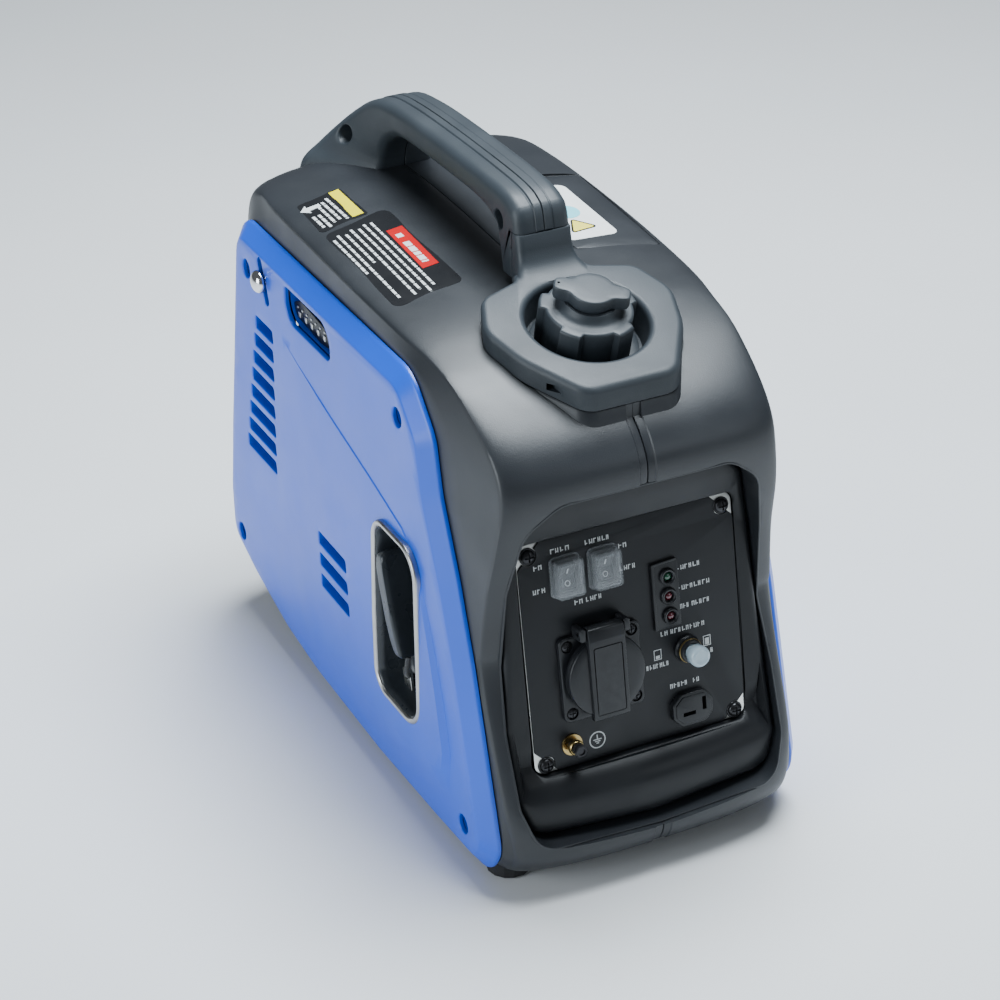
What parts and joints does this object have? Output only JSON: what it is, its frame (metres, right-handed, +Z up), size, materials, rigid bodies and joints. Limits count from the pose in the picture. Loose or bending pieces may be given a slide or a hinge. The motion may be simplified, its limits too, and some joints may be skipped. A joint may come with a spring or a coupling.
{
  "type": "portable generator",
  "caption": "Small suitcase generator with side covers, top handle, tilted filler collar with screw cap, recoil starter and a front panel of switches, lamps and outlets.",
  "frame": {"origin": "middle of the machine's footprint, on the surface it stands on", "axes": "+Z up, -Y towards the control panel end, -X towards the recoil starter side"},
  "size_m": [0.2384, 0.4498, 0.401],
  "materials": {
    "cover_blue": "satin blue moulded cover",
    "shell_black": "matt black moulded shell with fine texture",
    "collar_grey": "matt charcoal moulding",
    "panel_black": "matt black face plate",
    "switch_black": "black moulded plastic",
    "clear_boot": "clear soft boot",
    "white_button": "translucent white button",
    "green_lens": "green lamp lens",
    "red_lens": "red lamp lens",
    "zinc": "zinc plated plate",
    "chrome": "polished chrome",
    "black_steel": "black coated steel",
    "brass": "brass nut",
    "rubber": "black rubber",
    "starter_gloss": "gloss black recess and grip",
    "rope": "braided starter rope",
    "cast_alloy": "as cast alloy",
    "steel": "machined steel",
    "copper": "copper windings",
    "ceramic": "spark plug insulator and cap",
    "tank_white": "natural fuel tank plastic"
  },
  "bodies": {
    "root": {"left_shell": "shell_black", "right_shell": "shell_black", "left_side_cover": "cover_blue", "right_side_cover": "cover_blue", "starter_bezel": "starter_gloss", "starter_rope": "rope", "starter_housing": "switch_black", "handle_left_half": "collar_grey", "handle_right_half": "collar_grey", "fuel_collar": "collar_grey", "fuel_tank": "tank_white", "front_frame": "shell_black", "panel_backplate": "zinc", "control_panel": "panel_black", "panel_screw_1": "black_steel", "panel_screw_2": "black_steel", "panel_screw_3": "black_steel", "panel_screw_4": "black_steel", "econ_switch_body": "switch_black", "econ_switch_boot": "clear_boot", "engine_switch_body": "switch_black", "engine_switch_boot": "clear_boot", "led_block": "switch_black", "output_lamp": "green_lens", "overload_lamp": "red_lens", "oil_lamp": "red_lens", "ac_socket_base": "switch_black", "ac_socket_hinge_pin": "steel", "breaker_collar": "switch_black", "dc_outlet": "switch_black", "ground_stud": "black_steel", "ground_nut": "brass", "base_tray": "black_steel", "foot_front_left": "rubber", "foot_front_right": "rubber", "foot_rear_left": "rubber", "foot_rear_right": "rubber", "rear_grille": "shell_black", "crankcase": "cast_alloy", "cylinder": "cast_alloy", "spark_plug": "ceramic", "stator": "copper", "muffler": "steel", "air_cleaner": "switch_black", "carburetor": "cast_alloy", "fuel_hose": "rubber", "inverter_module": "cast_alloy"},
    "cap_lift": {"fuel_cap_gasket": "rubber"},
    "cap": {"fuel_cap": "switch_black"},
    "vent_lever": {"vent_lever": "collar_grey"},
    "econ_rocker": {"econ_rocker": "switch_black"},
    "engine_rocker": {"engine_rocker": "switch_black"},
    "breaker_button": {"breaker_button": "white_button"},
    "socket_lid": {"ac_socket_lid": "switch_black"},
    "choke_knob": {"choke_knob": "chrome"},
    "starter_grip": {"starter_grip": "starter_gloss"},
    "starter_pulley": {"starter_pulley": "switch_black"},
    "crank": {"crankshaft": "steel", "flywheel_fan": "cast_alloy"},
    "plug_cover": {"plug_access_cover": "shell_black"}
  },
  "joints": [
    {"name": "fuel_cap_lift", "type": "slide", "parent": "root", "child": "cap_lift", "axis": [0, -0.2588, 0.9659], "range_m": [0, 0.06]},
    {"name": "fuel_cap_turn", "type": "hinge", "parent": "cap_lift", "child": "cap", "pos_m": [0, -0.1217, 0.3419], "axis": [0, -0.2588, 0.9659], "range_deg": [0, 120]},
    {"name": "vent_lever_turn", "type": "hinge", "parent": "cap", "child": "vent_lever", "pos_m": [0, -0.12688, 0.36122], "axis": [0, -0.2588, 0.9659], "range_deg": [0, 90]},
    {"name": "econ_rocker_tilt", "type": "hinge", "parent": "root", "child": "econ_rocker", "pos_m": [-0.0435, -0.17366, 0.20156], "axis": [1, 0, 0], "range_deg": [-16, 0]},
    {"name": "engine_rocker_tilt", "type": "hinge", "parent": "root", "child": "engine_rocker", "pos_m": [-0.0175, -0.17375, 0.20107], "axis": [1, 0, 0], "range_deg": [-16, 0]},
    {"name": "breaker_button_push", "type": "slide", "parent": "root", "child": "breaker_button", "axis": [0, 0.9854, -0.1702], "range_m": [0, 0.003], "stiffness_N_per_m": 300},
    {"name": "socket_lid_swing", "type": "hinge", "parent": "root", "child": "socket_lid", "pos_m": [-0.0255, -0.18913, 0.16669], "axis": [1, 0, 0], "range_deg": [-115, 0], "stiffness_Nm_per_rad": 0.02},
    {"name": "choke_slide", "type": "slide", "parent": "root", "child": "choke_knob", "axis": [0, 0.3818, 0.9243], "range_m": [-0.012, 0.011]},
    {"name": "starter_pull", "type": "slide", "parent": "root", "child": "starter_grip", "axis": [-1, 0, 0], "range_m": [0, 0.5], "stiffness_N_per_m": 20},
    {"name": "starter_pulley_turn", "type": "hinge", "parent": "root", "child": "starter_pulley", "pos_m": [-0.076, 0.025, 0.115], "axis": [1, 0, 0], "range_deg": [-840, 0]},
    {"name": "crank_spin", "type": "hinge", "parent": "root", "child": "crank", "pos_m": [0, 0.025, 0.115], "axis": [1, 0, 0], "continuous": true},
    {"name": "plug_cover_lift", "type": "slide", "parent": "root", "child": "plug_cover", "axis": [0, 0, 1], "range_m": [0, 0.05]}
  ],
  "couplings": [
    {"joint": "starter_pulley_turn", "follows": "starter_pull", "rad_per_m": -28.986}
  ]
}
